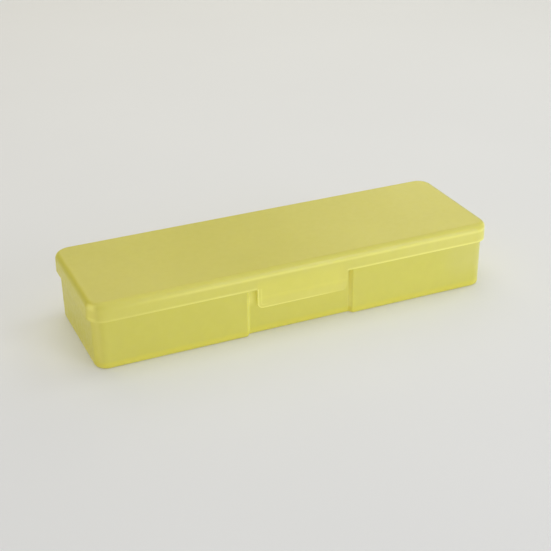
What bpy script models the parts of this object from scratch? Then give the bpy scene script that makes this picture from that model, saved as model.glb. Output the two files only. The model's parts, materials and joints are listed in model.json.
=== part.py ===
"""Slim hinged pencil case moulded in translucent polypropylene.

Four real pieces: a tray, a lid with a snap clasp moulded in one with it, and two steel hinge
pins. The clasp flexes, so it is a node of its own, parted from the lid at its flex line.
Metres, +Z up. The origin is the centre of the tray's underside, +X runs along the case, the
clasp is at -Y and the hinges are at +Y. The case is closed.
"""

import math

import bmesh
import bpy
from mathutils import Matrix, Vector

# The lid's outside is the case's outside.
LID_LENGTH = 0.2000
LID_WIDTH = 0.0643
CASE_HEIGHT = 0.0335
SKIRT_HEIGHT = 0.0088
LID_WALL = 0.0012
LID_CORNER_RADIUS = 0.0078
LID_EDGE_RADIUS = 0.0030

# The tray stands inside the lid's skirt. Its rim tapers, so the lid swings clear of it.
SKIRT_GAP = 0.0005
TRAY_WALL = 0.0014
TRAY_FLOOR = 0.0015
TRAY_DRAFT = 0.0003
TRAY_EDGE_RADIUS = 0.0016
TRAY_INNER_EDGE_RADIUS = 0.0008
RIM_GAP = 0.0006
RIM_TAPER = 0.0004
RIM_TAPER_HEIGHT = 0.0035

# The thumb recess in the tray's front wall runs its full height. Its sides slope.
RECESS_DEPTH = 0.0020
RECESS_HALF_WIDTH = 0.0265
RECESS_FLOOR_HALF_WIDTH = 0.0252

# The clasp hangs from the front skirt over the recess. Its bead snaps under a ridge.
CLASP_HALF_WIDTH = 0.0224
CLASP_BOTTOM = 0.0150
CLASP_CORNER_RADIUS = 0.0025
FLEX_GAP = 0.0003
RIDGE_HALF_WIDTH = 0.0170
RIDGE_BOTTOM = 0.0202
RIDGE_HEIGHT = 0.0020
RIDGE_REACH = 0.0012
BEAD_HALF_WIDTH = 0.0140
BEAD_HEIGHT = 0.0022
BEAD_REACH = 0.0018
SNAP_GAP = 0.0003
NOSE_HEIGHT = 0.0006

# Two hinges, each with two tray lugs, one lid knuckle between them, and a pin.
HINGE_X = 0.0600
KNUCKLE_RADIUS = 0.0023
KNUCKLE_LENGTH = 0.0080
LUG_LENGTH = 0.0050
HINGE_GAP = 0.0004
PIN_RADIUS = 0.00080
PIN_HOLE_RADIUS = 0.00088
PIN_END_INSET = 0.0002
STOP_GAP = 0.0003
STOP_LENGTH = 0.0045
GUSSET_LENGTH = 0.0030
RIB_HEIGHT = 0.0060

# How far a joined shape bites into its host, and how far a cutter passes a surface.
BITE = 0.0005
PASS = 0.0050
SAME_HEIGHT = 1e-6
CORNER_STEPS = 8
EDGE_STEPS = 4
KNUCKLE_STEPS = 12
CIRCLE_SIDES = 24
SHARP_ANGLE = 30

# Sizes that follow from them.
OVERHANG = LID_WALL + SKIRT_GAP
TRAY_LENGTH = LID_LENGTH - 2 * OVERHANG
TRAY_WIDTH = LID_WIDTH - 2 * OVERHANG
TRAY_CORNER_RADIUS = LID_CORNER_RADIUS - OVERHANG
SKIRT_BOTTOM = CASE_HEIGHT - SKIRT_HEIGHT
LID_CEILING = CASE_HEIGHT - LID_WALL
RIM_TOP = LID_CEILING - RIM_GAP
RIM_TAPER_START = RIM_TOP - RIM_TAPER_HEIGHT
FRONT_FACE = -TRAY_WIDTH / 2
BACK_FACE = TRAY_WIDTH / 2
RECESS_FLOOR = FRONT_FACE + RECESS_DEPTH
CLASP_FRONT = -LID_WIDTH / 2
CLASP_BACK = CLASP_FRONT + LID_WALL
BEAD_TOP = RIDGE_BOTTOM - SNAP_GAP
HINGE_Y = LID_WIDTH / 2 - LID_WALL + KNUCKLE_RADIUS
HINGE_Z = SKIRT_BOTTOM - HINGE_GAP - KNUCKLE_RADIUS
STOP_OFFSET = HINGE_Y - LID_WIDTH / 2 - STOP_GAP
LUG_OFFSET = (KNUCKLE_LENGTH + LUG_LENGTH) / 2 + HINGE_GAP
PIN_LENGTH = KNUCKLE_LENGTH + 2 * (LUG_LENGTH + HINGE_GAP - PIN_END_INSET)
HINGES = (("left", -HINGE_X), ("right", HINGE_X))
LUGS = (("a", -LUG_OFFSET), ("b", LUG_OFFSET))


# ---------------------------------------------------------------- scene and materials


def clear_scene():
    for obj in list(bpy.data.objects):
        bpy.data.objects.remove(obj)


def new_collection(name):
    collection = bpy.data.collections.new(name)
    bpy.context.scene.collection.children.link(collection)
    return collection


def material(name, colour, roughness, metallic):
    made = bpy.data.materials.new(name)
    made.use_nodes = True
    shader = made.node_tree.nodes["Principled BSDF"]
    shader.inputs["Base Color"].default_value = (*colour, 1.0)
    shader.inputs["Roughness"].default_value = roughness
    shader.inputs["Metallic"].default_value = metallic
    return made


def add_object(name, mesh, collection):
    obj = bpy.data.objects.new(name, mesh)
    collection.objects.link(obj)
    return obj


def finish_part(obj, surface):
    obj.data.materials.clear()
    obj.data.materials.append(surface)
    obj.data.shade_smooth()
    obj.data.set_sharp_from_angle(angle=math.radians(SHARP_ANGLE))


def move_origin(obj, point):
    """Moves a piece's origin to a point on the axis that it turns about. Its shape stays put."""
    obj.data.transform(obj.matrix_world.inverted() @ Matrix.Translation(-point) @ obj.matrix_world)
    obj.location = obj.location + point


# ---------------------------------------------------------------- shapes


def verts_at(bm, height):
    return [v for v in bm.verts if abs(v.co.z - height) < SAME_HEIGHT]


def rounded_block(name, size, low, high, corner_radius, collection, insets=(), edges=()):
    """A box centred on the Z axis with its upright corners rounded. insets lists (height, inset)
    where its sides stand in from size, and edges lists (height, radius) for level edges that
    are rounded too."""
    length, width = size
    bm = bmesh.new()
    bmesh.ops.create_cube(bm, size=1.0)
    bmesh.ops.scale(bm, vec=(length, width, high - low), verts=bm.verts)
    bmesh.ops.translate(bm, vec=(0, 0, (low + high) / 2), verts=bm.verts)
    upright = [e for e in bm.edges if abs(e.verts[0].co.z - e.verts[1].co.z) > SAME_HEIGHT]
    bmesh.ops.bevel(
        bm, geom=upright, offset=corner_radius, segments=CORNER_STEPS, profile=0.5, affect="EDGES"
    )
    for height, _ in insets:
        if low < height < high:
            everything = bm.verts[:] + bm.edges[:] + bm.faces[:]
            bmesh.ops.bisect_plane(bm, geom=everything, plane_co=(0, 0, height), plane_no=(0, 0, 1))
    for height, inset in insets:
        narrow = (1 - 2 * inset / length, 1 - 2 * inset / width, 1)
        bmesh.ops.scale(bm, vec=narrow, verts=verts_at(bm, height))
    for height, radius in edges:
        level = set(verts_at(bm, height))
        rim = [e for e in bm.edges if level.issuperset(e.verts)]
        bmesh.ops.bevel(
            bm, geom=rim, offset=radius, segments=EDGE_STEPS, profile=0.5, affect="EDGES"
        )
    mesh = bpy.data.meshes.new(name)
    bm.to_mesh(mesh)
    bm.free()
    return add_object(name, mesh, collection)


def arc(centre, radius, start_deg, end_deg, steps):
    """Points along a circle in an outline's plane, both ends included."""
    angles = [math.radians(start_deg + (end_deg - start_deg) * i / steps) for i in range(steps + 1)]
    return [(centre[0] + radius * math.cos(a), centre[1] + radius * math.sin(a)) for a in angles]


def extruded_outline(name, outline, thickness, frame, collection):
    """A flat outline in the XY plane of frame, with half its thickness to each side."""
    curve = bpy.data.curves.new(name, "CURVE")
    curve.dimensions = "2D"
    curve.fill_mode = "BOTH"
    curve.extrude = thickness / 2
    spline = curve.splines.new("POLY")
    spline.points.add(len(outline) - 1)
    for point, (across, up) in zip(spline.points, outline):
        point.co = (across, up, 0, 1)
    spline.use_cyclic_u = True
    drawn = add_object(name + "_outline", curve, collection)
    drawn.matrix_world = frame
    graph = bpy.context.evaluated_depsgraph_get()
    mesh = bpy.data.meshes.new_from_object(drawn.evaluated_get(graph))
    bm = bmesh.new()
    bm.from_mesh(mesh)
    bmesh.ops.remove_doubles(bm, verts=bm.verts, dist=SAME_HEIGHT)
    bmesh.ops.recalc_face_normals(bm, faces=bm.faces)
    bm.to_mesh(mesh)
    bm.free()
    obj = add_object(name, mesh, collection)
    obj.matrix_world = frame
    bpy.data.objects.remove(drawn)
    return obj


def frame_xy(z):
    """A frame whose outlines are in (X, Y), extruded along Z about z."""
    return Matrix.Translation((0, 0, z))


def frame_yz(x):
    """A frame whose outlines are in (Y, Z), extruded along X about x."""
    return Matrix(((0, 0, 1, x), (1, 0, 0, 0), (0, 1, 0, 0), (0, 0, 0, 1)))


def frame_xz(y):
    """A frame whose outlines are in (X, Z), extruded along Y about y."""
    return Matrix(((1, 0, 0, 0), (0, 0, -1, y), (0, 1, 0, 0), (0, 0, 0, 1)))


def hinge_cylinder(name, radius, x, length, collection):
    """A cylinder on the hinge axis, centred on x. Its origin is on the axis."""
    bm = bmesh.new()
    bmesh.ops.create_cone(
        bm, cap_ends=True, segments=CIRCLE_SIDES, radius1=radius, radius2=radius, depth=length
    )
    bmesh.ops.rotate(bm, matrix=Matrix.Rotation(math.radians(90), 3, "Y"), verts=bm.verts)
    mesh = bpy.data.meshes.new(name)
    bm.to_mesh(mesh)
    bm.free()
    obj = add_object(name, mesh, collection)
    obj.location = (x, HINGE_Y, HINGE_Z)
    return obj


def boolean(host, tool, operation):
    """Joins tool to host, or cuts it away, and keeps tool as a hidden helper."""
    tool.hide_render = True
    tool.display_type = "WIRE"
    modifier = host.modifiers.new(f"{operation.lower()}_{tool.name}", "BOOLEAN")
    modifier.operation = operation
    modifier.object = tool
    modifier.solver = "EXACT"


# ---------------------------------------------------------------- the tray


def recess_prism(name, margin, low, high, collection):
    """The thumb recess as a prism. margin widens and deepens it, for the wall behind it."""
    slope = (RECESS_HALF_WIDTH - RECESS_FLOOR_HALF_WIDTH) / RECESS_DEPTH
    mouth, floor = -PASS, RECESS_DEPTH + margin
    widest = RECESS_HALF_WIDTH + margin * math.hypot(1, slope)
    outline = [
        (side * (widest - slope * depth), FRONT_FACE + depth)
        for side, depth in ((-1, mouth), (1, mouth), (1, floor), (-1, floor))
    ]
    return extruded_outline(name, outline, high - low, frame_xy((low + high) / 2), collection)


def ridge_outline():
    """The catch ridge in (Y, Z): a sloped lead-in above and a level catch face below."""
    root, tip = RECESS_FLOOR + BITE, RECESS_FLOOR - RIDGE_REACH
    top = RIDGE_BOTTOM + RIDGE_HEIGHT
    return [
        (root, RIDGE_BOTTOM),
        (root, top),
        (RECESS_FLOOR, top),
        (tip, RIDGE_BOTTOM + NOSE_HEIGHT),
        (tip, RIDGE_BOTTOM),
    ]


def lug_outline():
    """A hinge lug in (Y, Z): a flat top, the knuckle's round back, the upright face that the
    open lid leans on, and a gusset down to the tray's wall."""
    root = BACK_FACE - TRAY_DRAFT - BITE
    stop_angle = -math.degrees(math.acos(STOP_OFFSET / KNUCKLE_RADIUS))
    stop_foot = HINGE_Z - STOP_LENGTH
    back = arc((HINGE_Y, HINGE_Z), KNUCKLE_RADIUS, 90, stop_angle, KNUCKLE_STEPS)
    top = [(root, HINGE_Z + KNUCKLE_RADIUS)]
    return top + back + [(HINGE_Y + STOP_OFFSET, stop_foot), (root, stop_foot - GUSSET_LENGTH)]


def add_lug(tray, name, x, cutters):
    lug = extruded_outline(f"lug_{name}", lug_outline(), LUG_LENGTH, frame_yz(x), cutters)
    hole_length = LUG_LENGTH + 2 * HINGE_GAP
    hole = hinge_cylinder(f"lug_hole_{name}", PIN_HOLE_RADIUS, x, hole_length, cutters)
    boolean(tray, lug, "UNION")
    boolean(tray, hole, "DIFFERENCE")


def make_tray(parts, cutters, surface):
    tray = rounded_block(
        "base_tray",
        (TRAY_LENGTH, TRAY_WIDTH),
        0.0,
        RIM_TOP,
        TRAY_CORNER_RADIUS,
        parts,
        insets=[(0.0, TRAY_DRAFT), (RIM_TAPER_START, 0.0), (RIM_TOP, RIM_TAPER)],
        edges=[(0.0, TRAY_EDGE_RADIUS)],
    )
    cavity = rounded_block(
        "tray_cavity",
        (TRAY_LENGTH - 2 * TRAY_WALL, TRAY_WIDTH - 2 * TRAY_WALL),
        TRAY_FLOOR,
        RIM_TOP + PASS,
        TRAY_CORNER_RADIUS - TRAY_WALL,
        cutters,
        insets=[(TRAY_FLOOR, TRAY_DRAFT)],
        edges=[(TRAY_FLOOR, TRAY_INNER_EDGE_RADIUS)],
    )
    high = RIM_TOP + PASS
    recess = recess_prism("recess", 0.0, -PASS, high, cutters)
    recess_wall = recess_prism("recess_wall", TRAY_WALL, -PASS, high + PASS, cutters)
    boolean(cavity, recess_wall, "DIFFERENCE")
    boolean(tray, recess, "DIFFERENCE")
    boolean(tray, cavity, "DIFFERENCE")
    ridge_length = 2 * RIDGE_HALF_WIDTH
    ridge = extruded_outline("catch_ridge", ridge_outline(), ridge_length, frame_yz(0), cutters)
    boolean(tray, ridge, "UNION")
    for side, hinge_x in HINGES:
        for place, offset in LUGS:
            add_lug(tray, f"{side}_{place}", hinge_x + offset, cutters)
    finish_part(tray, surface)


# ---------------------------------------------------------------- the lid and its clasp


def knuckle_outline():
    """A lid knuckle in (Y, Z): the round barrel, a web up into the skirt, and a rib that slopes
    from the barrel's back to the skirt's outer face."""
    barrel = arc((HINGE_Y, HINGE_Z), KNUCKLE_RADIUS, 45, -180, KNUCKLE_STEPS)
    web_front, web_top = HINGE_Y - KNUCKLE_RADIUS, SKIRT_BOTTOM + BITE
    inside = LID_WIDTH / 2 - BITE
    return barrel + [(web_front, web_top), (inside, web_top), (inside, HINGE_Z + RIB_HEIGHT)]


def add_knuckle(lid, name, x, cutters):
    knuckle = extruded_outline(
        f"knuckle_{name}", knuckle_outline(), KNUCKLE_LENGTH, frame_yz(x), cutters
    )
    hole_length = KNUCKLE_LENGTH + 2 * HINGE_GAP
    hole = hinge_cylinder(f"knuckle_hole_{name}", PIN_HOLE_RADIUS, x, hole_length, cutters)
    boolean(lid, knuckle, "UNION")
    boolean(lid, hole, "DIFFERENCE")


def make_lid(parts, cutters, surface):
    lid = rounded_block(
        "lid",
        (LID_LENGTH, LID_WIDTH),
        SKIRT_BOTTOM,
        CASE_HEIGHT,
        LID_CORNER_RADIUS,
        parts,
        edges=[(CASE_HEIGHT, LID_EDGE_RADIUS)],
    )
    cavity = rounded_block(
        "lid_cavity",
        (LID_LENGTH - 2 * LID_WALL, LID_WIDTH - 2 * LID_WALL),
        SKIRT_BOTTOM - PASS,
        LID_CEILING,
        LID_CORNER_RADIUS - LID_WALL,
        cutters,
        edges=[(LID_CEILING, LID_EDGE_RADIUS - LID_WALL)],
    )
    boolean(lid, cavity, "DIFFERENCE")
    for side, hinge_x in HINGES:
        add_knuckle(lid, side, hinge_x, cutters)
    finish_part(lid, surface)
    move_origin(lid, Vector((0.0, HINGE_Y, HINGE_Z)))


def clasp_outline():
    """The clasp's plate in (X, Z): square at the flex line, rounded at its lower corners."""
    top = SKIRT_BOTTOM - FLEX_GAP
    across = CLASP_HALF_WIDTH - CLASP_CORNER_RADIUS
    up = CLASP_BOTTOM + CLASP_CORNER_RADIUS
    left = arc((-across, up), CLASP_CORNER_RADIUS, 180, 270, CORNER_STEPS)
    right = arc((across, up), CLASP_CORNER_RADIUS, 270, 360, CORNER_STEPS)
    return left + right + [(CLASP_HALF_WIDTH, top), (-CLASP_HALF_WIDTH, top)]


def bead_outline():
    """The snap bead in (Y, Z) on the clasp's inner face: level above, sloped below."""
    root, tip, foot = CLASP_BACK - BITE, CLASP_BACK + BEAD_REACH, BEAD_TOP - BEAD_HEIGHT
    return [
        (root, BEAD_TOP),
        (root, foot),
        (CLASP_BACK, foot),
        (tip, BEAD_TOP - NOSE_HEIGHT),
        (tip, BEAD_TOP),
    ]


def make_clasp(parts, cutters, surface):
    middle = (CLASP_FRONT + CLASP_BACK) / 2
    clasp = extruded_outline("clasp_tab", clasp_outline(), LID_WALL, frame_xz(middle), parts)
    bead = extruded_outline("snap_bead", bead_outline(), 2 * BEAD_HALF_WIDTH, frame_yz(0), cutters)
    boolean(clasp, bead, "UNION")
    finish_part(clasp, surface)
    move_origin(clasp, Vector((0.0, middle, SKIRT_BOTTOM)))


def make_pins(parts, surface):
    for side, hinge_x in HINGES:
        pin = hinge_cylinder(f"hinge_pin_{side}", PIN_RADIUS, hinge_x, PIN_LENGTH, parts)
        finish_part(pin, surface)


def main():
    clear_scene()
    parts = new_collection("pencil_case")
    cutters = new_collection("cutters")
    tray_plastic = material("tray_plastic", (0.58, 0.54, 0.12), 0.42, 0.0)
    lid_plastic = material("lid_plastic", (0.62, 0.58, 0.14), 0.40, 0.0)
    clasp_plastic = material("clasp_plastic", (0.66, 0.62, 0.15), 0.40, 0.0)
    pin_steel = material("pin_steel", (0.62, 0.62, 0.60), 0.28, 1.0)
    make_tray(parts, cutters, tray_plastic)
    make_lid(parts, cutters, lid_plastic)
    make_clasp(parts, cutters, clasp_plastic)
    make_pins(parts, pin_steel)


main()
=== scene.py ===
"""Slim hinged pencil case in frosted yellow polypropylene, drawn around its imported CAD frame.

Metres, +Z up, as in the frame: +X runs along the case, the clasp is at -Y, the hinges are at +Y.
Four pieces: the tray, the lid with its clasp in one moulding, and two steel hinge pins. The
photograph doesn't show the hinges, so they and their pins are a guess. The clasp bends where the
frame's flex joint is.
"""

import json
import math

import bmesh
import bpy
from mathutils import Matrix, Vector


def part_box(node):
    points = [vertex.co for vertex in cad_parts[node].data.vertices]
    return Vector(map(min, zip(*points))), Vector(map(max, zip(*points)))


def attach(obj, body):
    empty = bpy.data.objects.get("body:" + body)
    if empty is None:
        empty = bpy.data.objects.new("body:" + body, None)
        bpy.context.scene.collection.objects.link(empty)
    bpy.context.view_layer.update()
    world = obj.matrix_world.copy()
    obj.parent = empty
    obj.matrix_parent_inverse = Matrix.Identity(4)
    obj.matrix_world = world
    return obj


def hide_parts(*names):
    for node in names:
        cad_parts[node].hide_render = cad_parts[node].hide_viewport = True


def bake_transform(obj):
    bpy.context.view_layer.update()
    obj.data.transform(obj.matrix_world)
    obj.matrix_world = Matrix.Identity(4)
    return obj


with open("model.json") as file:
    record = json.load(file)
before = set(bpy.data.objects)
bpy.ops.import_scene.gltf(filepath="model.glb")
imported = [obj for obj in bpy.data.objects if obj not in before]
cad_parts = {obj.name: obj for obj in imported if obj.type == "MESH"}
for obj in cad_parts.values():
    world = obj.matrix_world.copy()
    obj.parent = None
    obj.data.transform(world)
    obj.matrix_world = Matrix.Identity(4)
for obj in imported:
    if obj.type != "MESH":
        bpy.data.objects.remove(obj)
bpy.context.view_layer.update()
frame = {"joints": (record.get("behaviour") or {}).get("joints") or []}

# Places that the frame gives.
TRAY_LOW, TRAY_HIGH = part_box("base_tray")
LID_LOW, LID_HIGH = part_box("lid")
CLASP_LOW, CLASP_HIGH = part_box("clasp_tab")
PINS = {name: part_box(name) for name in ("hinge_pin_left", "hinge_pin_right")}
JOINT_AT = {joint["name"]: Vector(joint["pos_m"]) for joint in frame["joints"]}
HINGE_AXIS = JOINT_AT["lid_hinge"]
FLEX_LINE = JOINT_AT["clasp_flex"]

# The lid: the outside of the case.
LID_HALF_LENGTH = LID_HIGH.x
LID_HALF_WIDTH = -LID_LOW.y
LID_TOP = LID_HIGH.z
SKIRT_BOTTOM = FLEX_LINE.z
LID_WALL = 0.0012
LID_CORNER_RADIUS = 0.0078
LID_EDGE_RADIUS = 0.0030
SKIRT_DRAFT = 0.0001
LIP_RADIUS = 0.00032

# The clasp hangs from the front skirt.
CLASP_HALF_WIDTH = CLASP_HIGH.x
CLASP_BOTTOM = CLASP_LOW.z
CLASP_CORNER_RADIUS = 0.0025
CLASP_ROOT_RADIUS = 0.0007
CLASP_BACK = -LID_HALF_WIDTH + LID_WALL
BEAD_HALF_WIDTH = 0.0140
BEAD_TOP = 0.0199
BEAD_HEIGHT = 0.0022
BEAD_REACH = 0.0018
NOSE_HEIGHT = 0.0006
CATCH_EDGE_RADIUS = 0.0002
FLEX_END = 0.0204
FLEX_ROWS = 10

# The tray stands inside the skirt.
TRAY_HALF_LENGTH = TRAY_HIGH.x
TRAY_HALF_WIDTH = -TRAY_LOW.y
RIM_TOP = TRAY_HIGH.z
TRAY_CORNER_RADIUS = 0.0061
TRAY_WALL = 0.0014
TRAY_FLOOR = 0.0015
TRAY_DRAFT = 0.0003
TRAY_EDGE_RADIUS = 0.0016
TRAY_INNER_EDGE_RADIUS = 0.0009
TRAY_WALL_ROWS = (0.010, 0.019)
RIM_TAPER = 0.0004
RIM_TAPER_START = RIM_TOP - 0.0035
RIM_LIP_RADIUS = 0.0003

# The thumb recess in the tray's front wall.
RECESS_DEPTH = 0.0020
RECESS_HALF_WIDTH = 0.0265
RECESS_FLOOR_HALF_WIDTH = 0.0252
RECESS_SLOPE = (RECESS_HALF_WIDTH - RECESS_FLOOR_HALF_WIDTH) / RECESS_DEPTH
RECESS_SPREAD = math.hypot(1, RECESS_SLOPE) - RECESS_SLOPE
RECESS_EDGE_RADIUS = 0.0007
RIDGE_HALF_WIDTH = 0.0170
RIDGE_BOTTOM = 0.0202
RIDGE_HEIGHT = 0.0020
RIDGE_REACH = 0.0012

# The hinges.
KNUCKLE_RADIUS = 0.0023
KNUCKLE_LENGTH = 0.0080
LUG_LENGTH = 0.0050
LUG_OFFSET = 0.0069
PIN_HOLE_RADIUS = 0.00088
STOP_OFFSET = 0.0008
STOP_LENGTH = 0.0045
STOP_FOOT_RADIUS = 0.0006
GUSSET_LENGTH = 0.0030
RIB_HEIGHT = 0.0060
RIB_START_DEG = 45
HINGE_EDGE_RADIUS = 0.00025
PIN_DOME = 0.0003

# Marks that the mould leaves.
EJECTOR_RADIUS = 0.0030
EJECTOR_DEPTH = 0.00012
EJECTOR_X = (-0.080, 0.0, 0.080)
EJECTOR_Y = (-0.018, 0.018)

# Mesh detail.
CORNER_STEPS = 12
EDGE_STEPS = 10
SMALL_STEPS = 5
LIP_SEGMENTS = 4
SOFT_SEGMENTS = 3
ROUND_SIDES = 48
CLASP_COLUMN_GAP = 0.0008
SHARP_ANGLE = math.radians(35)
# How far a shape reaches into the one that it is joined to or cut from.
BITE = 0.0004

# The camera, fitted to the case in the photograph.
VIEW_AZIMUTH = -23.33
VIEW_ELEVATION = 27.17
VIEW_ROLL = -0.85
VIEW_DISTANCE = 0.5798
VIEW_TARGET = Vector((0.00026, 0.00019, 0.0120))
VIEW_LENS = 78.53
SENSOR_WIDTH = 36.0


# ---------------------------------------------------------------- outlines


def arc(centre, radius, start_deg, end_deg, steps):
    """Points along a circle, both ends included."""
    angles = [math.radians(start_deg + (end_deg - start_deg) * i / steps) for i in range(steps + 1)]
    return [Vector((centre[0] + radius * math.cos(a), centre[1] + radius * math.sin(a))) for a in angles]


def circle(centre, radius):
    """Points round a whole circle, the first not repeated."""
    return arc(centre, radius, 0, 360 * (ROUND_SIDES - 1) / ROUND_SIDES, ROUND_SIDES - 1)


def rounded_corner(before, corner, after, radius, steps):
    """The arc that rounds one corner of a path."""
    to_before, to_after = (before - corner).normalized(), (after - corner).normalized()
    half = to_before.angle(to_after) / 2
    centre = corner + (to_before + to_after).normalized() * (radius / math.sin(half))
    start = to_before * (radius / math.tan(half)) + corner - centre
    end = to_after * (radius / math.tan(half)) + corner - centre
    first = math.degrees(math.atan2(start.y, start.x))
    turn = math.degrees(math.atan2(end.y, end.x)) - first
    turn = (turn + 180) % 360 - 180
    return arc(centre, radius, first, first + turn, steps)


def rounded_path(corners, radius, steps):
    """The corners between an open path's ends, each rounded."""
    path = [Vector(corner) for corner in corners]
    return [
        point
        for trio in zip(path, path[1:], path[2:])
        for point in rounded_corner(*trio, radius, steps)
    ]


def plan_ring(half_length, half_width, corner_radius, height, front):
    """A level ring: a rounded rectangle whose front side also passes through front's points."""
    x, y, r = half_length - corner_radius, half_width - corner_radius, corner_radius
    plan = list(front)
    plan += arc((x, -y), r, -90, 0, CORNER_STEPS)
    plan += arc((x, y), r, 0, 90, CORNER_STEPS)
    plan += arc((-x, y), r, 90, 180, CORNER_STEPS)
    plan += arc((-x, -y), r, 180, 270, CORNER_STEPS)
    return [(point.x, point.y, height) for point in plan]


# ---------------------------------------------------------------- mesh helpers


def new_object(name, bm):
    bmesh.ops.recalc_face_normals(bm, faces=bm.faces)
    mesh = bpy.data.meshes.new(name)
    bm.to_mesh(mesh)
    bm.free()
    obj = bpy.data.objects.new(name, mesh)
    bpy.context.scene.collection.objects.link(obj)
    return obj


def loft_rows(bm, rings):
    """Joins closed rings of equally many points with quads, and returns the rows of vertices."""
    rows = [[bm.verts.new(point) for point in ring] for ring in rings]
    for lower, upper in zip(rows, rows[1:]):
        for i in range(len(lower)):
            bm.faces.new((lower[i - 1], lower[i], upper[i], upper[i - 1]))
    return rows


def loft(name, rings):
    """A closed solid through rings, with a flat face at each end."""
    bm = bmesh.new()
    rows = loft_rows(bm, rings)
    bm.faces.new(rows[0])
    bm.faces.new(rows[-1])
    return new_object(name, bm)


def prism(name, outline, x_low, x_high):
    """An outline in (Y, Z) drawn out along X."""
    return loft(name, [[(x, point[0], point[1]) for point in outline] for x in (x_low, x_high)])


def lathe_x(name, centre, profile):
    """A solid turned about a line along X, from (x, radius) pairs."""
    middle = (centre.y, centre.z)
    rings = [[(x, point[0], point[1]) for point in circle(middle, radius)] for x, radius in profile]
    return loft(name, rings)


def apply_modifiers(obj):
    graph = bpy.context.evaluated_depsgraph_get()
    mesh = bpy.data.meshes.new_from_object(obj.evaluated_get(graph))
    obj.modifiers.clear()
    obj.data = mesh


def soften(obj, radius, segments):
    """Rounds every sharp edge."""
    bevel = obj.modifiers.new("soften", "BEVEL")
    bevel.width = radius
    bevel.segments = segments
    bevel.limit_method = "ANGLE"
    bevel.angle_limit = SHARP_ANGLE
    apply_modifiers(obj)
    return obj


def combine(host, tool, operation):
    """Joins tool to host, or cuts it away, and removes it."""
    modifier = host.modifiers.new("combine", "BOOLEAN")
    modifier.operation = operation
    modifier.object = tool
    modifier.solver = "EXACT"
    apply_modifiers(host)
    bpy.data.objects.remove(tool)


def ejector_marks(host, height):
    """Shallow round marks that the mould's ejector pins leave on an inner face."""
    for x in EJECTOR_X:
        for y in EJECTOR_Y:
            rings = [
                [(point.x, point.y, height + z) for point in circle((x, y), EJECTOR_RADIUS)]
                for z in (-EJECTOR_DEPTH, EJECTOR_DEPTH)
            ]
            combine(host, loft("ejector_mark", rings), "DIFFERENCE")


def finish_shape(obj):
    """Smooth shading that keeps flat faces flat, and the rest position for the materials."""
    obj.data.shade_smooth()
    obj.data.set_sharp_from_angle(angle=SHARP_ANGLE)
    normals = obj.modifiers.new("even_normals", "WEIGHTED_NORMAL")
    normals.keep_sharp = True
    normals.weight = 100
    apply_modifiers(obj)
    rest = obj.data.attributes.new("rest_position", "FLOAT_VECTOR", "POINT")
    for vertex, item in zip(obj.data.vertices, rest.data):
        item.vector = vertex.co


# ---------------------------------------------------------------- the tray


def tray_ring(inset, height):
    """The tray's outline at one height, set in from its widest outside. The recess follows."""
    face = RECESS_HALF_WIDTH + inset * RECESS_SPREAD
    floor = RECESS_FLOOR_HALF_WIDTH + inset * RECESS_SPREAD
    front_y = -TRAY_HALF_WIDTH + inset
    steps_in = [(face, front_y), (floor, front_y + RECESS_DEPTH)]
    end = TRAY_HALF_LENGTH - TRAY_CORNER_RADIUS
    corners = [(-end, front_y)] + [(-x, y) for x, y in steps_in]
    corners += list(reversed(steps_in)) + [(end, front_y)]
    front = rounded_path(corners, RECESS_EDGE_RADIUS, SMALL_STEPS)
    return plan_ring(
        TRAY_HALF_LENGTH - inset,
        TRAY_HALF_WIDTH - inset,
        TRAY_CORNER_RADIUS - inset,
        height,
        front,
    )


def tray_profile():
    """(inset, height) pairs: from under the floor, up the outside, over the rim, down inside."""

    def draft_at(height):
        return TRAY_DRAFT * max(0.0, 1 - height / RIM_TAPER_START)

    foot, lip, inner = TRAY_EDGE_RADIUS, RIM_LIP_RADIUS, TRAY_INNER_EDGE_RADIUS
    profile = []
    for point in arc((foot, foot), foot, 270, 180, EDGE_STEPS):
        profile.append((point.x + draft_at(point.y), point.y))
    for height in (*TRAY_WALL_ROWS, RIM_TAPER_START):
        profile.append((draft_at(height), height))
    outer_lip = arc((RIM_TAPER + lip, RIM_TOP - lip), lip, 180, 90, LIP_SEGMENTS)
    inner_lip = arc((TRAY_WALL - lip, RIM_TOP - lip), lip, 90, 0, LIP_SEGMENTS)
    profile += [tuple(point) for point in outer_lip + inner_lip]
    for height in (RIM_TAPER_START, *reversed(TRAY_WALL_ROWS)):
        profile.append((TRAY_WALL + draft_at(height), height))
    at = (TRAY_WALL + TRAY_DRAFT + inner, TRAY_FLOOR + inner)
    profile += [tuple(point) for point in arc(at, inner, 180, 270, SMALL_STEPS)]
    return profile


def ridge_outline():
    """The catch ridge in (Y, Z): a sloped lead-in above and a level catch face below."""
    recess_floor = -TRAY_HALF_WIDTH + RECESS_DEPTH
    root, tip = recess_floor + BITE * 2, recess_floor - RIDGE_REACH
    top = RIDGE_BOTTOM + RIDGE_HEIGHT
    return [
        (root, RIDGE_BOTTOM),
        (tip, RIDGE_BOTTOM),
        (tip, RIDGE_BOTTOM + NOSE_HEIGHT),
        (recess_floor, top),
        (root, top),
    ]


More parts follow.
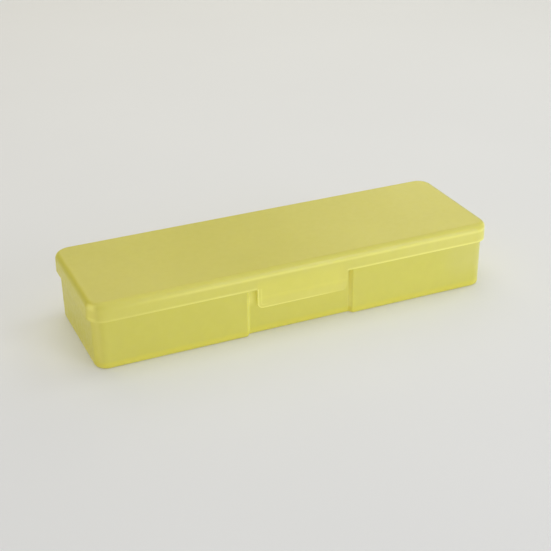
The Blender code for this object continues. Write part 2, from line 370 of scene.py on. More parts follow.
def lug_outline():
    """A hinge lug in (Y, Z): a flat top, the knuckle's round back, the upright face that the
    open lid leans on, and a gusset down to the tray's wall."""
    y, z = HINGE_AXIS.y, HINGE_AXIS.z
    root = TRAY_HALF_WIDTH - TRAY_DRAFT - BITE
    stop_angle = -math.degrees(math.acos(STOP_OFFSET / KNUCKLE_RADIUS))
    back = arc((y, z), KNUCKLE_RADIUS, 90, stop_angle, EDGE_STEPS)
    stop_foot = (y + STOP_OFFSET, z - STOP_LENGTH)
    gusset_foot = (root, z - STOP_LENGTH - GUSSET_LENGTH)
    heel = rounded_corner(
        back[-1], Vector(stop_foot), Vector(gusset_foot), STOP_FOOT_RADIUS, SMALL_STEPS
    )
    return [(root, z + KNUCKLE_RADIUS)] + back + heel + [gusset_foot]


def pin_hole(x, length):
    centre = Vector((0, HINGE_AXIS.y, HINGE_AXIS.z))
    ends = (x - length / 2 - BITE, x + length / 2 + BITE)
    return lathe_x("pin_hole", centre, [(end, PIN_HOLE_RADIUS) for end in ends])


def hinge_part(name, outline, x, length):
    """A lug or knuckle with softened edges."""
    part = prism(name, outline, x - length / 2, x + length / 2)
    return soften(part, HINGE_EDGE_RADIUS, SOFT_SEGMENTS)


def hinge_centres():
    return [(low.x + high.x) / 2 for low, high in PINS.values()]


def make_tray():
    tray = loft("tray", [tray_ring(*step) for step in tray_profile()])
    ridge = prism("ridge", ridge_outline(), -RIDGE_HALF_WIDTH, RIDGE_HALF_WIDTH)
    combine(tray, soften(ridge, CATCH_EDGE_RADIUS, SOFT_SEGMENTS), "UNION")
    for centre in hinge_centres():
        for x in (centre - LUG_OFFSET, centre + LUG_OFFSET):
            combine(tray, hinge_part("lug", lug_outline(), x, LUG_LENGTH), "UNION")
            combine(tray, pin_hole(x, LUG_LENGTH), "DIFFERENCE")
    ejector_marks(tray, TRAY_FLOOR)
    finish_shape(tray)
    return tray


# ---------------------------------------------------------------- the lid and its clasp


def clasp_columns():
    """Where the clasp's upright mesh lines meet the skirt, from the left to the right."""
    root = CLASP_HALF_WIDTH + CLASP_ROOT_RADIUS
    inner = CLASP_HALF_WIDTH - CLASP_CORNER_RADIUS - CLASP_COLUMN_GAP
    return [-root, -inner, -inner / 2, 0.0, inner / 2, inner, root]


def clasp_edge():
    """(half width, height) down the clasp's side and round its lower corner."""
    root, corner = CLASP_ROOT_RADIUS, CLASP_CORNER_RADIUS
    fillet = arc((CLASP_HALF_WIDTH + root, SKIRT_BOTTOM - root), root, 90, 180, SMALL_STEPS)
    corner_centre = (CLASP_HALF_WIDTH - corner, CLASP_BOTTOM + corner)
    return fillet + arc(corner_centre, corner, 0, -90, EDGE_STEPS)


def lid_rings():
    """The lid's outer face, from the flat top down to the skirt's lip."""
    front_x = clasp_columns()
    radius = LID_EDGE_RADIUS
    steps = arc((SKIRT_DRAFT + radius, LID_TOP - radius), radius, 90, 180, EDGE_STEPS)
    steps += [Vector((SKIRT_DRAFT / 2, (LID_TOP - radius + SKIRT_BOTTOM) / 2))]
    steps += [Vector((0.0, SKIRT_BOTTOM))]
    return [
        plan_ring(
            LID_HALF_LENGTH - inset,
            LID_HALF_WIDTH - inset,
            LID_CORNER_RADIUS - inset,
            height,
            [Vector((x, -LID_HALF_WIDTH + inset)) for x in front_x],
        )
        for inset, height in steps
    ]


def lid_sheet():
    """The lid's and clasp's outer face as one sheet."""
    bm = bmesh.new()
    rows = loft_rows(bm, lid_rings())
    bm.faces.new(rows[0])
    columns = clasp_columns()
    above = rows[-1][: len(columns)]
    for half_width, height in clasp_edge()[1:]:
        across = [-half_width, *columns[1:-1], half_width]
        below = [bm.verts.new((x, -LID_HALF_WIDTH, height)) for x in across]
        for i in range(len(columns) - 1):
            bm.faces.new((above[i], below[i], below[i + 1], above[i + 1]))
        above = below
    return new_object("lid", bm)


def bead_outline():
    """The snap bead in (Y, Z) on the clasp's inner face: level above, sloped below."""
    root, tip, foot = CLASP_BACK - BITE, CLASP_BACK + BEAD_REACH, BEAD_TOP - BEAD_HEIGHT
    return [
        (root, BEAD_TOP),
        (root, foot),
        (CLASP_BACK, foot),
        (tip, BEAD_TOP - NOSE_HEIGHT),
        (tip, BEAD_TOP),
    ]


def knuckle_outline():
    """A lid knuckle in (Y, Z): the round barrel, a web up into the skirt, and a rib that slopes
    from the barrel's back to the skirt's outer face."""
    y, z = HINGE_AXIS.y, HINGE_AXIS.z
    barrel = arc((y, z), KNUCKLE_RADIUS, RIB_START_DEG, -180, 2 * EDGE_STEPS)
    web_top = SKIRT_BOTTOM + BITE
    inside = LID_HALF_WIDTH - BITE
    return barrel + [(y - KNUCKLE_RADIUS, web_top), (inside, web_top), (inside, z + RIB_HEIGHT)]


def cut_level(obj, heights):
    """Adds level mesh lines, so that the clasp bends smoothly."""
    bm = bmesh.new()
    bm.from_mesh(obj.data)
    for height in heights:
        everything = bm.verts[:] + bm.edges[:] + bm.faces[:]
        bmesh.ops.bisect_plane(bm, geom=everything, plane_co=(0, 0, height), plane_no=(0, 0, 1))
    bm.to_mesh(obj.data)
    bm.free()


def make_lid():
    lid = lid_sheet()
    wall = lid.modifiers.new("wall", "SOLIDIFY")
    wall.thickness = LID_WALL
    wall.offset = -1.0
    wall.use_even_offset = True
    apply_modifiers(lid)
    soften(lid, LIP_RADIUS, LIP_SEGMENTS)
    bead = prism("bead", bead_outline(), -BEAD_HALF_WIDTH, BEAD_HALF_WIDTH)
    combine(lid, soften(bead, CATCH_EDGE_RADIUS, SOFT_SEGMENTS), "UNION")
    for x in hinge_centres():
        combine(lid, hinge_part("knuckle", knuckle_outline(), x, KNUCKLE_LENGTH), "UNION")
        combine(lid, pin_hole(x, KNUCKLE_LENGTH), "DIFFERENCE")
    ejector_marks(lid, LID_TOP - LID_WALL)
    step = (SKIRT_BOTTOM - FLEX_END) / FLEX_ROWS
    cut_level(lid, [FLEX_END + step * i for i in range(FLEX_ROWS)])
    finish_shape(lid)
    return lid


# ---------------------------------------------------------------- the pins


def make_pin(name):
    low, high = PINS[name]
    centre = (low + high) / 2
    radius = (high.z - low.z) / 2
    side = radius - PIN_DOME
    nose = arc((low.x + PIN_DOME, side), PIN_DOME, 180, 90, SMALL_STEPS)
    tail = arc((high.x - PIN_DOME, side), PIN_DOME, 90, 0, SMALL_STEPS)
    pin = lathe_x(name + "_drawn", centre, [tuple(point) for point in nose + tail])
    finish_shape(pin)
    return pin


# ---------------------------------------------------------------- materials


# The plastic's own colour, its cloudy shifts to each side, and how far they are evened out.
PLASTIC = (0.600, 0.560, 0.120)
PLASTIC_DEEP = (0.560, 0.522, 0.098)
PLASTIC_LIGHT = (0.640, 0.598, 0.142)
PLASTIC_EVENNESS = 0.7
CLOUD_SHARE = 0.6

# Colours of painted light where the plastic gathers light, of painted warm light at the tray's foot, and
# of painted shade where the lid starts to turn down.
EDGE_LIGHT = (0.880, 0.835, 0.270)
EDGE_LIGHT_YELLOW = (0.870, 0.825, 0.195)
FOOT_LIGHT_WARM = (0.650, 0.590, 0.078)
EDGE_SHADE = (0.530, 0.495, 0.075)

STEEL = (0.60, 0.60, 0.58)
STEEL_DARK = (0.44, 0.44, 0.43)
FLOOR_DARK = (0.79, 0.80, 0.87)
FLOOR_LIGHT = (0.82, 0.83, 0.90)

# Scales of the noise, from soft clouds down to the frosted grain.
WAVE_SCALE = 28.0
CLOUD_SCALE = 22.0
MOTTLE_SCALE = 240.0
ROUGHNESS_SCALE = 420.0
GRAIN_SCALE = 5200.0
STREAK_SCALE = 900.0
STREAK_STRETCH = (0.08, 1.0, 1.0)
FLOOR_SPECK_SCALE = 6.0

# Depths of the bumps, in metres.
WAVE_HEIGHT = 0.00025
GRAIN_HEIGHT = 0.000012
STREAK_HEIGHT = 0.00001

# The Mix node's sockets for colours. Its sockets for numbers have the same names.
MIX_FACTOR = 0
MIX_FIRST = 6
MIX_SECOND = 7
MIX_RESULT = 2


class Graph:
    """A material's nodes, with short ways to add what these materials use."""

    def __init__(self, name):
        self.material = bpy.data.materials.new(name)
        self.material.use_nodes = True
        self.tree = self.material.node_tree
        self.shader = self.tree.nodes["Principled BSDF"]
        rest = self.node("ShaderNodeAttribute")
        rest.attribute_name = "rest_position"
        self.position = rest.outputs["Vector"]
        parts = self.node("ShaderNodeSeparateXYZ", Vector=self.position)
        self.x, self.y, self.z = parts.outputs

    def put(self, socket, value):
        """Links a socket, or sets a value."""
        if isinstance(value, bpy.types.NodeSocket):
            self.tree.links.new(value, socket)
        elif isinstance(value, tuple) and socket.type == "RGBA":
            socket.default_value = (*value, 1.0)
        else:
            socket.default_value = value

    def node(self, kind, **inputs):
        made = self.tree.nodes.new(kind)
        for name, value in inputs.items():
            self.put(made.inputs[name.replace("_", " ")], value)
        return made

    def math(self, operation, *values):
        made = self.tree.nodes.new("ShaderNodeMath")
        made.operation = operation
        for socket, value in zip(made.inputs, values):
            self.put(socket, value)
        return made.outputs[0]

    def product(self, *values):
        result = values[0]
        for value in values[1:]:
            result = self.math("MULTIPLY", result, value)
        return result

    def hypotenuse(self, first, second):
        squares = self.math("ADD", self.product(first, first), self.product(second, second))
        return self.math("SQRT", squares)

    def ramp(self, value, low, high, to_low=0.0, to_high=1.0):
        """A smooth step from to_low at low to to_high at high. low may be above high."""
        made = self.node("ShaderNodeMapRange", Value=value)
        made.interpolation_type = "SMOOTHSTEP"
        flip = low > high
        for name, number in (
            ("From Min", high if flip else low),
            ("From Max", low if flip else high),
            ("To Min", to_high if flip else to_low),
            ("To Max", to_low if flip else to_high),
        ):
            made.inputs[name].default_value = number
        return made.outputs["Result"]

    def band(self, value, centre, half_width):
        """1 at centre, falling smoothly to 0 at half_width on each side."""
        return self.ramp(self.math("ABSOLUTE", self.math("SUBTRACT", value, centre)), half_width, 0.0)

    def blend_colours(self, blend_type, factor, first, second):
        made = self.tree.nodes.new("ShaderNodeMix")
        made.data_type = "RGBA"
        made.blend_type = blend_type
        made.clamp_result = False
        self.put(made.inputs[MIX_FACTOR], factor)
        self.put(made.inputs[MIX_FIRST], first)
        self.put(made.inputs[MIX_SECOND], second)
        return made.outputs[MIX_RESULT]

    def mix(self, factor, first, second):
        return self.blend_colours("MIX", factor, first, second)

    def tint(self, factor, colour, factors):
        """The colour times factors, where factor is 1."""
        return self.blend_colours("MULTIPLY", factor, colour, factors)

    def noise(self, scale, detail=3.0, stretch=(1.0, 1.0, 1.0)):
        placed = self.node("ShaderNodeMapping", Vector=self.position)
        placed.inputs["Scale"].default_value = stretch
        made = self.node("ShaderNodeTexNoise", Vector=placed.outputs[0])
        made.inputs["Scale"].default_value = scale
        made.inputs["Detail"].default_value = detail
        return made.outputs[0]

    def bump(self, height, distance, strength=1.0, under=None):
        made = self.node("ShaderNodeBump", Height=height)
        made.inputs["Distance"].default_value = distance
        made.inputs["Strength"].default_value = strength
        if under is not None:
            self.put(made.inputs["Normal"], under)
        return made.outputs[0]

    def set(self, **inputs):
        for name, value in inputs.items():
            self.put(self.shader.inputs[name.replace("_", " ")], value)


# Where the painted light and tints are. A span says where one starts and where it is full, and a
# band says where its middle is and how far it reaches on each side. Tints are factors.

# Both mouldings: painted shade on the left part, painted highlights down the rounded corners, and on the
# right-hand end painted shade along its rounded edge and a warmer tint on its face.
LEFT_PART_SPAN_X = (-0.60 * LID_HALF_LENGTH, -0.95 * LID_HALF_LENGTH)
LEFT_PART_SHADE = (0.965, 0.960, 0.945)
CORNER_TURN = math.radians(33)
CORNER_SPAN = (0.0037, 0.0006)
FAR_END_FROM = 0.0042
FAR_END_TO = 0.0008
FAR_END_SHADE = (0.87, 0.875, 1.12)
FAR_FACE_FROM = 0.0014
FAR_FACE_TO = 0.0004
FAR_FACE_TINT = (1.06, 1.05, 0.76)

# The tray: painted shade on its left end and that end's foot, painted highlights down its corners, a
# painted sheen on its right-hand part and painted warm light along its foot.
TRAY_BLUE = 0.875
TRAY_LIGHT_THROUGH = 0.75
TRAY_LEFT_SPAN_X = (-TRAY_HALF_LENGTH + 0.0020, -TRAY_HALF_LENGTH + 0.0004)
TRAY_LEFT_TINT = (1.0, 1.0, 0.58)
TRAY_LEFT_FOOT_SPAN_Z = (0.0150, 0.0060)
TRAY_LEFT_FOOT_TINT = (1.0, 1.0, 0.78)
TRAY_CORNER_LIGHT = 0.25
TRAY_SHEEN_SPAN_X = (0.68 * TRAY_HALF_LENGTH, 0.92 * TRAY_HALF_LENGTH)
TRAY_SHEEN_SPAN_Z = (0.12 * RIM_TOP, 0.50 * RIM_TOP)
TRAY_SHEEN_TINT = (1.0, 1.0, 1.30)
TRAY_FOOT_SPAN_Z = (0.0044, 0.0026)
TRAY_FOOT_LIGHT = 0.7

# The recess: painted light on its two steps, and in the slots between them and the clasp.
RECESS_STEP = (RECESS_HALF_WIDTH + RECESS_FLOOR_HALF_WIDTH) / 2
RECESS_FLOOR_Y = -TRAY_HALF_WIDTH + RECESS_DEPTH
OUTSIDE_SPAN_Y = (RECESS_FLOOR_Y + 0.0006, RECESS_FLOOR_Y + 0.0002)
LEFT_STEP_BAND_X = (-RECESS_STEP, 0.0016)
LEFT_STEP_SPAN_Z = (RIDGE_BOTTOM + 0.0020, RIDGE_BOTTOM - 0.0020)
LEFT_STEP_LIGHT = 0.45
RIGHT_STEP_BAND_X = (RECESS_STEP - 0.0001, 0.0013)
RIGHT_STEP_LIGHT = 0.50
SLOT_BAND_X = (CLASP_HALF_WIDTH + 0.0018, 0.0034)
SLOT_SPAN_Y = (-TRAY_HALF_WIDTH + 0.0002, -TRAY_HALF_WIDTH + 0.0010)
SLOT_SPAN_Z = (CLASP_BOTTOM - 0.0010, CLASP_BOTTOM + 0.0030)
SLOT_LIGHT_LEFT = 0.42
SLOT_LIGHT_RIGHT = 0.20

# The lid: painted light on its sides, painted shade on its left end and a painted sheen on its
# right-hand part.
LID_BLUE = 1.0
LID_LIGHT_THROUGH = 0.92
LID_SIDE_SPAN_Z = (LID_TOP - 0.0015, LID_TOP - 0.0035)
LID_SIDE_LIGHT = (1.05, 1.05, 1.05)
LID_LEFT_SPAN_X = (-LID_HALF_LENGTH + 0.0030, -LID_HALF_LENGTH + 0.0010)
LID_LEFT_TINT = (1.0, 1.0, 0.60)
LID_LEFT_SIDE_TINT = (1.0, 1.0, 0.86)
LID_SHEEN_SPAN_X = (0.20 * LID_HALF_LENGTH, 0.90 * LID_HALF_LENGTH)
LID_SHEEN_TINT = (1.035, 1.035, 1.20)

# The lid's edges: painted shade where it turns down, painted light in its corners, and a painted
# highlight and painted light along its front.
LID_FRONT_SPAN_Y = (-LID_HALF_WIDTH + 0.0040, -LID_HALF_WIDTH + 0.0028)
FRONT_TURN_BAND_Z = (LID_TOP - 0.0003, 0.0007)
LEFT_TURN_BAND_Z = (LID_TOP - 0.0011, 0.0010)
TURN_SHADE = 0.6
LID_CORNER_SPAN_Z = (LID_TOP - 0.0004, LID_TOP - 0.0014)
LID_CORNER_FOOT_BAND_Z = (SKIRT_BOTTOM + 0.0012, 0.0016)
LID_CORNER_FOOT_LIGHT = 0.55
LID_CORNER_RISE_Z = (SKIRT_BOTTOM + 0.0045, LID_TOP - 0.0020)
LID_CORNER_LIGHT_LOW = 0.36
LID_CORNER_LIGHT_HIGH = 0.70
TOP_LINE_BAND_Z = (LID_TOP - 0.0030, 0.0012)
LIP_BAND_Z = (SKIRT_BOTTOM + 0.0003, 0.0010)
BESIDE_CLASP_SPAN_X = (CLASP_HALF_WIDTH, CLASP_HALF_WIDTH + 0.0006)
EDGES_SPAN_X = (-0.95 * LID_HALF_LENGTH, -0.40 * LID_HALF_LENGTH)
LIP_RISE_X = (0.0, 0.60 * LID_HALF_LENGTH)
LIP_LIGHT_LEFT = 0.35
LIP_LIGHT_RIGHT = 1.35
EDGES_LIGHT = 0.46

# The clasp: painted light on its sheet and painted shade on its right-hand side, the streaks of the
# catch behind it, painted as showing through, and painted light along its rim.
CLASP_FRONT_SPAN_Y = (-LID_HALF_WIDTH + 0.0050, -LID_HALF_WIDTH + 0.0030)
CLASP_SPAN_Z = (SKIRT_BOTTOM + 0.0060, SKIRT_BOTTOM)
CLASP_OUTLINE_SPAN = (0.0004, -0.0004)
CLASP_SHEET_LIGHT = (1.05, 1.05, 1.00)
CLASP_RIGHT_SPAN_X = (CLASP_HALF_WIDTH - 0.0060, CLASP_HALF_WIDTH)
CLASP_RIGHT_SHADE = (0.965, 0.955, 1.00)
RIDGE_STREAK_BAND_Z = (RIDGE_BOTTOM, 0.0014)
RIDGE_STREAK_TINT = (1.022, 1.022, 1.03)
BEAD_STREAK_SPAN_Z = (BEAD_TOP, BEAD_TOP - BEAD_HEIGHT)
BEAD_STREAK_TINT = (1.0, 0.995, 1.09)
CLASP_RIM_INNER_SPAN = (-0.0008, -0.0001)
CLASP_RIM_OUTER_SPAN = (0.0012, 0.0008)
CLASP_RIM_SPAN_X = (CLASP_HALF_WIDTH, 0.0)
CLASP_RIM_SPAN_Z = (SKIRT_BOTTOM + 0.0004, SKIRT_BOTTOM - 0.0002)
CLASP_RIM_LIGHT = 0.6
CLASP_BACK_EDGE_BAND = (-0.0017, 0.0006)
CLASP_BACK_EDGE_SPAN_X = (-CLASP_HALF_WIDTH + 0.0060, -CLASP_HALF_WIDTH + 0.0020)
CLASP_BACK_EDGE_LIGHT = 0.40


def frosted(graph, blue, light_through):
    """What both mouldings share: cloudy colour, a fine frosted grain and soft light inside.
    Shadow rays pass through it in part, so that its recesses aren't too dark."""
    cloud = graph.ramp(graph.noise(CLOUD_SCALE), 0.35, 0.65)
    mottle = graph.ramp(graph.noise(MOTTLE_SCALE), 0.30, 0.70)
    cloud, mottle = graph.product(cloud, CLOUD_SHARE), graph.product(mottle, 1 - CLOUD_SHARE)
    colour = graph.mix(graph.math("ADD", cloud, mottle), PLASTIC_DEEP, PLASTIC_LIGHT)
    colour = graph.mix(PLASTIC_EVENNESS, colour, PLASTIC)
    colour = graph.tint(1.0, colour, (1.0, 1.0, blue))
    # Painted shade on the left part: a little darker.
    colour = graph.tint(graph.ramp(graph.x, *LEFT_PART_SPAN_X), colour, LEFT_PART_SHADE)
    grain = graph.bump(graph.noise(GRAIN_SCALE, 2.0), GRAIN_HEIGHT)
    shade = graph.node("ShaderNodeLightPath").outputs["Is Shadow Ray"]
    graph.set(
        Alpha=graph.math("SUBTRACT", 1.0, graph.product(shade, light_through)),
        Roughness=graph.ramp(graph.noise(ROUGHNESS_SCALE), 0.3, 0.7, 0.29, 0.37),
        IOR=1.49,
        Normal=graph.bump(graph.noise(WAVE_SCALE, 1.0), WAVE_HEIGHT, 0.35, grain),
        Subsurface_Weight=0.45,
        Subsurface_Radius=(1.0, 0.9, 0.25),
        Subsurface_Scale=0.0025,
    )
    return colour


def painted_corner_highlight(graph, half_length, half_width, radius):
    """The mask of a painted highlight: 1 along a line down each rounded upright corner, a little nearer
    its end wall.
    """
    middle_x = half_length - radius * (1 - math.cos(CORNER_TURN))
    middle_y = half_width - radius * (1 - math.sin(CORNER_TURN))
    along = graph.math("SUBTRACT", graph.math("ABSOLUTE", graph.x), middle_x)
    across = graph.math("SUBTRACT", graph.math("ABSOLUTE", graph.y), middle_y)
    return graph.ramp(graph.hypotenuse(along, across), *CORNER_SPAN)


def far_end(graph, colour, half_length):
    """Painted shade on the rounded edge of the right-hand end, a little greyer than the rest, and a
    warmer tint on its face.
    """
    end = graph.ramp(graph.x, half_length - FAR_END_FROM, half_length - FAR_END_TO)
    colour = graph.tint(end, colour, FAR_END_SHADE)
    face = graph.ramp(graph.x, half_length - FAR_FACE_FROM, half_length - FAR_FACE_TO)
    return graph.tint(face, colour, FAR_FACE_TINT)


def recess_light(graph, colour):
    """Painted light on the recess's steps and in the slots beside the clasp, in place of light that
    comes from inside the plastic.
    """
    outside = graph.ramp(graph.y, *OUTSIDE_SPAN_Y)
    left = graph.product(
        graph.band(graph.x, *LEFT_STEP_BAND_X),
        graph.ramp(graph.z, *LEFT_STEP_SPAN_Z),
        LEFT_STEP_LIGHT,
    )
    colour = graph.mix(graph.product(left, outside), colour, EDGE_LIGHT_YELLOW)
    right = graph.product(graph.band(graph.x, *RIGHT_STEP_BAND_X), RIGHT_STEP_LIGHT)
    slot = graph.product(
        graph.band(graph.math("ABSOLUTE", graph.x), *SLOT_BAND_X),
        graph.ramp(graph.y, *SLOT_SPAN_Y),
        graph.ramp(graph.z, *SLOT_SPAN_Z),
        graph.ramp(graph.x, 0.0, RECESS_STEP, SLOT_LIGHT_LEFT, SLOT_LIGHT_RIGHT),
    )
    light = graph.math("MAXIMUM", right, slot)
    return graph.mix(graph.product(light, outside), colour, EDGE_LIGHT)


def tray_material():
    graph = Graph("frosted_plastic_tray")
    colour = frosted(graph, TRAY_BLUE, TRAY_LIGHT_THROUGH)
    # Painted shade on the left end: less blue, more so towards its foot.
    end = graph.ramp(graph.x, *TRAY_LEFT_SPAN_X)
    colour = graph.tint(end, colour, TRAY_LEFT_TINT)
    end_foot = graph.product(end, graph.ramp(graph.z, *TRAY_LEFT_FOOT_SPAN_Z))
    colour = graph.tint(end_foot, colour, TRAY_LEFT_FOOT_TINT)
    # Painted highlight down the tray's rounded corners.
    corner = painted_corner_highlight(graph, TRAY_HALF_LENGTH, TRAY_HALF_WIDTH, TRAY_CORNER_RADIUS)
    colour = graph.mix(graph.product(corner, TRAY_CORNER_LIGHT), colour, EDGE_LIGHT)
    # A painted sheen on the lower right-hand part: bluer.
    sheen_x = graph.ramp(graph.x, *TRAY_SHEEN_SPAN_X)
    sheen_z = graph.ramp(graph.z, *TRAY_SHEEN_SPAN_Z)
    colour = graph.tint(graph.product(sheen_x, sheen_z), colour, TRAY_SHEEN_TINT)
    # Painted shade on the right-hand end's rounded edge, and a warmer tint on its face.
    colour = far_end(graph, colour, TRAY_HALF_LENGTH)
    # Painted light on the recess's steps and in the slots beside the clasp.
    colour = recess_light(graph, colour)
    # Painted warm light along the tray's foot.
    foot = graph.ramp(graph.z, *TRAY_FOOT_SPAN_Z)
    colour = graph.mix(graph.product(foot, TRAY_FOOT_LIGHT), colour, FOOT_LIGHT_WARM)
    graph.set(Base_Color=colour)
    return graph.material


def lid_material():
    graph = Graph("frosted_plastic_lid")
    colour = frosted(graph, LID_BLUE, LID_LIGHT_THROUGH)
    # Painted light on the lid's sides, below the top.
    side = graph.ramp(graph.z, *LID_SIDE_SPAN_Z)
    colour = graph.tint(side, colour, LID_SIDE_LIGHT)
    # Painted shade on the left end: less blue, more so on its sides.
    end = graph.ramp(graph.x, *LID_LEFT_SPAN_X)
    colour = graph.tint(end, colour, LID_LEFT_TINT)
    colour = graph.tint(graph.product(end, side), colour, LID_LEFT_SIDE_TINT)
    # A painted sheen on the right-hand part of the sides: lighter and bluer.
    sheen = graph.product(side, graph.ramp(graph.x, *LID_SHEEN_SPAN_X))
    colour = graph.tint(sheen, colour, LID_SHEEN_TINT)
    # Painted shade on the right-hand end's rounded edge, and a warmer tint on its face.
    colour = far_end(graph, colour, LID_HALF_LENGTH)
    front = graph.ramp(graph.y, *LID_FRONT_SPAN_Y)
    # Painted shade where the lid turns down.
    colour = lid_turn_shade(graph, colour, front, end)
    # Painted light in the lid's corners.
    colour = lid_corner_light(graph, colour)
    # A painted highlight along the top of the front skirt, and painted light along its lip.
    colour = lid_front_edge_light(graph, colour, front)
    # Painted light and shade on the clasp and its rim.
    colour = clasp_light(graph, colour)
    graph.set(Base_Color=colour)
    return graph.material


def lid_turn_shade(graph, colour, front, end):
    """Painted shade in a line where the lid starts to turn down, at the front and at the left end."""
    front_turn = graph.product(graph.band(graph.z, *FRONT_TURN_BAND_Z), front)
    left_turn = graph.product(graph.band(graph.z, *LEFT_TURN_BAND_Z), end)
    turn = graph.math("MAXIMUM", front_turn, left_turn)
    return graph.mix(graph.product(turn, TURN_SHADE), colour, EDGE_SHADE)


def lid_corner_light(graph, colour):
    """Painted light in the lid's corners, strongest at the top and at the foot."""
    corner = painted_corner_highlight(graph, LID_HALF_LENGTH, LID_HALF_WIDTH, LID_CORNER_RADIUS)
    foot = graph.product(graph.band(graph.z, *LID_CORNER_FOOT_BAND_Z), LID_CORNER_FOOT_LIGHT)
    rise = graph.ramp(graph.z, *LID_CORNER_RISE_Z, LID_CORNER_LIGHT_LOW, LID_CORNER_LIGHT_HIGH)
    below_top = graph.ramp(graph.z, *LID_CORNER_SPAN_Z)
    light = graph.product(corner, below_top, graph.math("MAXIMUM", foot, rise))
    return graph.mix(light, colour, EDGE_LIGHT)


def lid_front_edge_light(graph, colour, front):
    """A painted highlight along the top of the front skirt and painted light along its lip, beside the
    clasp.
    """
    line = graph.product(graph.band(graph.z, *TOP_LINE_BAND_Z), graph.ramp(graph.x, *EDGES_SPAN_X))
    lip = graph.product(
        graph.band(graph.z, *LIP_BAND_Z),
        graph.ramp(graph.math("ABSOLUTE", graph.x), *BESIDE_CLASP_SPAN_X),
        graph.ramp(graph.x, *EDGES_SPAN_X, LIP_LIGHT_LEFT, 1.0),
        graph.ramp(graph.x, *LIP_RISE_X, 1.0, LIP_LIGHT_RIGHT),
    )
    edges = graph.math("MAXIMUM", line, lip)
    return graph.mix(graph.product(edges, front, EDGES_LIGHT), colour, EDGE_LIGHT)


def clasp_light(graph, colour):
    """The clasp's thin sheet gets painted light, so it is lighter than the lid, with painted shade on
    its right-hand side, and painted light makes its left side and lower rim glow.
    """
    front = graph.ramp(graph.y, *CLASP_FRONT_SPAN_Y)
    distance = clasp_distance(graph)
    sheet = graph.product(
        graph.ramp(distance, *CLASP_OUTLINE_SPAN), front, graph.ramp(graph.z, *CLASP_SPAN_Z)
    )
    colour = graph.tint(sheet, colour, CLASP_SHEET_LIGHT)
    right = graph.product(sheet, graph.ramp(graph.x, *CLASP_RIGHT_SPAN_X))
    colour = graph.tint(right, colour, CLASP_RIGHT_SHADE)
    colour = clasp_streaks(graph, colour, sheet)
    rim = graph.math("MAXIMUM", clasp_rim(graph, distance), clasp_back_edge(graph, distance))
    below_skirt = graph.ramp(graph.z, *CLASP_RIM_SPAN_Z)
    return graph.mix(graph.product(rim, front, below_skirt, CLASP_RIM_LIGHT), colour, EDGE_LIGHT)


def clasp_streaks(graph, colour, sheet):
    """Painted light where the catch ridge shows faintly through the clasp, and a bluer tint where the
    snap bead does.
    """
    ridge = graph.product(graph.band(graph.z, *RIDGE_STREAK_BAND_Z), sheet)
    colour = graph.tint(ridge, colour, RIDGE_STREAK_TINT)
    bead = graph.product(graph.ramp(graph.z, *BEAD_STREAK_SPAN_Z), sheet)
    return graph.tint(bead, colour, BEAD_STREAK_TINT)


def clasp_rim(graph, distance):
    """Painted light along the clasp's outer edge, which fades from the left to the right."""
    return graph.product(
        graph.ramp(distance, *CLASP_RIM_INNER_SPAN),
        graph.ramp(distance, *CLASP_RIM_OUTER_SPAN),
        graph.ramp(graph.x, *CLASP_RIM_SPAN_X),
    )


def clasp_back_edge(graph, distance):
    """Painted light along the edge of the clasp's inner face, which shows faintly through its left side.
    """
    return graph.product(
        graph.band(distance, *CLASP_BACK_EDGE_BAND),
        graph.ramp(graph.x, *CLASP_BACK_EDGE_SPAN_X),
        CLASP_BACK_EDGE_LIGHT,
    )


def clasp_distance(graph):
    """How far a point lies outside the clasp's outline, in the (X, Z) plane."""
    corner = CLASP_CORNER_RADIUS
    across = graph.math("SUBTRACT", graph.math("ABSOLUTE", graph.x), CLASP_HALF_WIDTH - corner)
    below = graph.math("SUBTRACT", CLASP_BOTTOM + corner, graph.z)
    across_out = graph.math("MAXIMUM", across, 0.0)
    below_out = graph.math("MAXIMUM", below, 0.0)
    outside = graph.hypotenuse(across_out, below_out)
    inside = graph.math("MINIMUM", graph.math("MAXIMUM", across, below), 0.0)
    return graph.math("SUBTRACT", graph.math("ADD", outside, inside), corner)


def pin_material():
    graph = Graph("drawn_steel")
    streaks = graph.noise(STREAK_SCALE, 3.0, STREAK_STRETCH)
    graph.set(
        Base_Color=graph.mix(graph.ramp(streaks, 0.35, 0.65), STEEL, STEEL_DARK),
        Metallic=1.0,
        Roughness=graph.ramp(streaks, 0.3, 0.7, 0.22, 0.38),
        Normal=graph.bump(streaks, STREAK_HEIGHT),
    )
    return graph.material


def floor_material():
    graph = Graph("pale_floor")
    place = graph.node("ShaderNodeTexCoord")
    speck = graph.node("ShaderNodeTexNoise", Vector=place.outputs["Object"])
    speck.inputs["Scale"].default_value = FLOOR_SPECK_SCALE
    graph.set(
        Base_Color=graph.mix(speck.outputs[0], FLOOR_DARK, FLOOR_LIGHT),
        Roughness=0.85,
    )
    return graph.material


def dress(obj, material):
    obj.data.materials.clear()
    obj.data.materials.append(material)


# ---------------------------------------------------------------- the stage


FLOOR_SIZE = 12.0
WORLD_COLOUR = (1.0, 1.0, 0.97, 1.0)
WORLD_STRENGTH = 0.315
LIGHTS_AIM = Vector((0.0, 0.0, 0.015))
LOW_LIGHT = 0.10

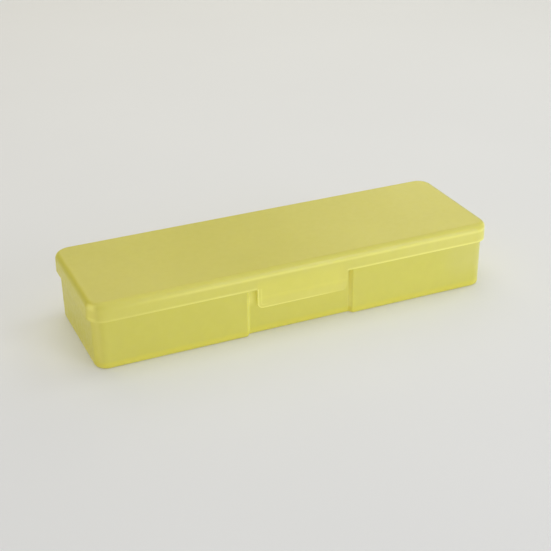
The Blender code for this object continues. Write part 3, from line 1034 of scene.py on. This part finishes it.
# Name, place, size, power and colour of each soft light.
LIGHTS = (
    ("top_softbox", (0.00, 0.00, 1.30), 1.20, 5.6, (1.00, 0.97, 0.82)),
    ("back_softbox", (0.00, 0.90, 1.00), 0.90, 3.1, (1.00, 0.90, 0.60)),
    ("back_right_softbox", (0.75, 0.95, 0.55), 0.60, 1.0, (1.00, 0.95, 0.60)),
    ("right_softbox", (0.80, 0.10, 1.00), 0.50, 2.0, (0.95, 1.00, 0.95)),
    ("back_low_softbox", (0.30, 1.15, 0.08), 0.50, 3.0, (1.00, 0.96, 0.86)),
    ("left_low_softbox", (-1.20, -0.35, 0.08), 0.40, 5.2, (1.00, 0.95, 0.74)),
    ("front_softbox", (0.50, -1.00, 0.42), 0.50, 3.36, (0.94, 0.95, 1.00)),
    ("front_low_softbox", (0.55, -1.10, 0.05), 0.50, 3.7, (0.76, 0.82, 0.94)),
    ("right_low_softbox", (0.95, -0.90, 0.05), 0.40, 7.7, (0.66, 0.77, 1.00)),
)


def make_floor():
    bm = bmesh.new()
    bmesh.ops.create_grid(bm, x_segments=2, y_segments=2, size=FLOOR_SIZE)
    floor = new_object("floor", bm)
    floor.data.materials.append(floor_material())
    return floor


def spare_floor(light, floor):
    """Keeps a light that stands low off the floor, where it would leave a glaring patch."""
    spared = bpy.data.collections.new(light.name + "_spares")
    spared.objects.link(floor)
    spared.collection_objects[0].light_linking.link_state = "EXCLUDE"
    light.light_linking.receiver_collection = spared
    light.visible_glossy = False


def make_light(floor, name, place, size, power, colour):
    """One round soft light. A light that stands lower than LOW_LIGHT is kept off the floor."""
    light = bpy.data.lights.new(name, "AREA")
    light.shape = "DISK"
    light.size = size
    light.energy = power
    light.color = colour
    obj = bpy.data.objects.new(name, light)
    bpy.context.scene.collection.objects.link(obj)
    obj.location = place
    obj.rotation_euler = (LIGHTS_AIM - Vector(place)).to_track_quat("-Z", "Y").to_euler()
    if place[2] < LOW_LIGHT:
        spare_floor(obj, floor)


def make_lights(floor):
    world = bpy.data.worlds.new("studio")
    bpy.context.scene.world = world
    world.use_nodes = True
    backdrop = world.node_tree.nodes["Background"]
    backdrop.inputs["Color"].default_value = WORLD_COLOUR
    backdrop.inputs["Strength"].default_value = WORLD_STRENGTH
    for light in LIGHTS:
        make_light(floor, *light)


def make_camera():
    azimuth, elevation, roll = (
        math.radians(angle) for angle in (VIEW_AZIMUTH, VIEW_ELEVATION, VIEW_ROLL)
    )
    back = Vector(
        (
            math.sin(azimuth) * math.cos(elevation),
            -math.cos(azimuth) * math.cos(elevation),
            math.sin(elevation),
        )
    )
    right = Vector((math.cos(azimuth), math.sin(azimuth), 0.0))
    up = back.cross(right)
    across = right * math.cos(roll) + up * math.sin(roll)
    upward = up * math.cos(roll) - right * math.sin(roll)
    data = bpy.data.cameras.new("camera")
    data.lens = VIEW_LENS
    data.sensor_width = SENSOR_WIDTH
    camera = bpy.data.objects.new("camera", data)
    bpy.context.scene.collection.objects.link(camera)
    placed = Matrix((across, upward, back)).transposed().to_4x4()
    placed.translation = VIEW_TARGET + back * VIEW_DISTANCE
    camera.matrix_world = placed
    bpy.context.scene.camera = camera


# ---------------------------------------------------------------- the model


def main():
    tray = make_tray()
    dress(tray, tray_material())
    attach(tray, "base")
    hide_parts("base_tray")

    lid = make_lid()
    dress(lid, lid_material())
    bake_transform(lid)
    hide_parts("lid", "clasp_tab")

    steel = pin_material()
    for name in PINS:
        pin = make_pin(name)
        dress(pin, steel)
        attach(pin, "base")
        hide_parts(name)

    make_lights(make_floor())
    make_camera()
    bpy.context.scene.view_settings.view_transform = "Standard"


main()
